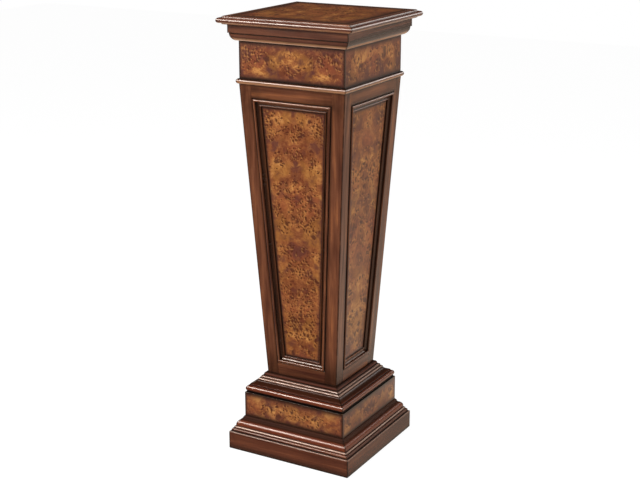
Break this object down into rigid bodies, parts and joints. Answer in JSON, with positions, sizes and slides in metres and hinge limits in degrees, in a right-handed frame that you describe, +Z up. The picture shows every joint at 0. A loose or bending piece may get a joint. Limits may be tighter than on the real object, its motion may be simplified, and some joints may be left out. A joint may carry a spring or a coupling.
{
  "type": "torchere stand",
  "caption": "Tapered square pedestal stand with a moulded top and stepped plinth, mahogany frames and burl-veneered panels, for holding up a lamp, bust or vase.",
  "frame": {"origin": "on the floor under the middle of the square base", "axes": "+Z up, -Y out of the front face, +X out of the right face"},
  "size_m": [0.35, 0.35, 1.067],
  "materials": {
    "mahogany": "red-brown mahogany, dark glaze in the crevices, satin-gloss lacquer",
    "burl_veneer": "golden-brown burl veneer, book-matched, shaded edges, satin-gloss lacquer",
    "carcase_wood": "bare plywood and softwood",
    "zinc_steel": "zinc-plated steel",
    "brass_insert": "turned brass",
    "nylon": "dark nylon"
  },
  "bodies": {
    "root": {"astragal_back": "mahogany", "astragal_front": "mahogany", "astragal_left": "mahogany", "astragal_right": "mahogany", "base_moulding_back": "mahogany", "base_moulding_front": "mahogany", "base_moulding_left": "mahogany", "base_moulding_right": "mahogany", "cap_moulding_back": "mahogany", "cap_moulding_front": "mahogany", "cap_moulding_left": "mahogany", "cap_moulding_right": "mahogany", "cornice_back": "mahogany", "cornice_front": "mahogany", "cornice_left": "mahogany", "cornice_right": "mahogany", "frieze_boards": "carcase_wood", "frieze_veneers": "burl_veneer", "glue_blocks": "carcase_wood", "leveller_inserts": "brass_insert", "panel_cores": "carcase_wood", "panel_moulding_back": "mahogany", "panel_moulding_front": "mahogany", "panel_moulding_left": "mahogany", "panel_moulding_right": "mahogany", "panel_veneer_back": "burl_veneer", "panel_veneer_front": "burl_veneer", "panel_veneer_left": "burl_veneer", "panel_veneer_right": "burl_veneer", "plinth_boards": "carcase_wood", "plinth_top_board": "carcase_wood", "plinth_veneers": "burl_veneer", "skirting_back": "mahogany", "skirting_front": "mahogany", "skirting_left": "mahogany", "skirting_right": "mahogany", "top_core": "carcase_wood", "top_edge_back": "mahogany", "top_edge_front": "mahogany", "top_edge_left": "mahogany", "top_edge_right": "mahogany", "top_veneer": "burl_veneer", "trunk_head_board": "carcase_wood", "trunk_rails_back": "mahogany", "trunk_rails_front": "mahogany", "trunk_rails_left": "mahogany", "trunk_rails_right": "mahogany", "trunk_stiles_back": "mahogany", "trunk_stiles_front": "mahogany", "trunk_stiles_left": "mahogany", "trunk_stiles_right": "mahogany", "wood_screws": "zinc_steel"},
    "pad_1": {"leveller_pad_1": "nylon"},
    "stud_1": {"leveller_stud_1": "zinc_steel"},
    "pad_2": {"leveller_pad_2": "nylon"},
    "stud_2": {"leveller_stud_2": "zinc_steel"},
    "pad_3": {"leveller_pad_3": "nylon"},
    "stud_3": {"leveller_stud_3": "zinc_steel"},
    "pad_4": {"leveller_pad_4": "nylon"},
    "stud_4": {"leveller_stud_4": "zinc_steel"}
  },
  "joints": [
    {"name": "leveller_slide_1", "type": "slide", "parent": "root", "child": "pad_1", "axis": [0, 0, -1], "range_m": [0, 0.01125]},
    {"name": "leveller_turn_1", "type": "hinge", "parent": "pad_1", "child": "stud_1", "pos_m": [0.0947, -0.0947, 0.02], "axis": [0, 0, -1], "range_deg": [0, 2880]},
    {"name": "leveller_slide_2", "type": "slide", "parent": "root", "child": "pad_2", "axis": [0, 0, -1], "range_m": [0, 0.01125]},
    {"name": "leveller_turn_2", "type": "hinge", "parent": "pad_2", "child": "stud_2", "pos_m": [0.0947, 0.0947, 0.02], "axis": [0, 0, -1], "range_deg": [0, 2880]},
    {"name": "leveller_slide_3", "type": "slide", "parent": "root", "child": "pad_3", "axis": [0, 0, -1], "range_m": [0, 0.01125]},
    {"name": "leveller_turn_3", "type": "hinge", "parent": "pad_3", "child": "stud_3", "pos_m": [-0.0947, 0.0947, 0.02], "axis": [0, 0, -1], "range_deg": [0, 2880]},
    {"name": "leveller_slide_4", "type": "slide", "parent": "root", "child": "pad_4", "axis": [0, 0, -1], "range_m": [0, 0.01125]},
    {"name": "leveller_turn_4", "type": "hinge", "parent": "pad_4", "child": "stud_4", "pos_m": [-0.0947, -0.0947, 0.02], "axis": [0, 0, -1], "range_deg": [0, 2880]}
  ],
  "couplings": [
    {"joint": "leveller_slide_1", "follows": "leveller_turn_1", "m_per_rad": 0.00019894},
    {"joint": "leveller_slide_2", "follows": "leveller_turn_2", "m_per_rad": 0.00019894},
    {"joint": "leveller_slide_3", "follows": "leveller_turn_3", "m_per_rad": 0.00019894},
    {"joint": "leveller_slide_4", "follows": "leveller_turn_4", "m_per_rad": 0.00019894}
  ]
}
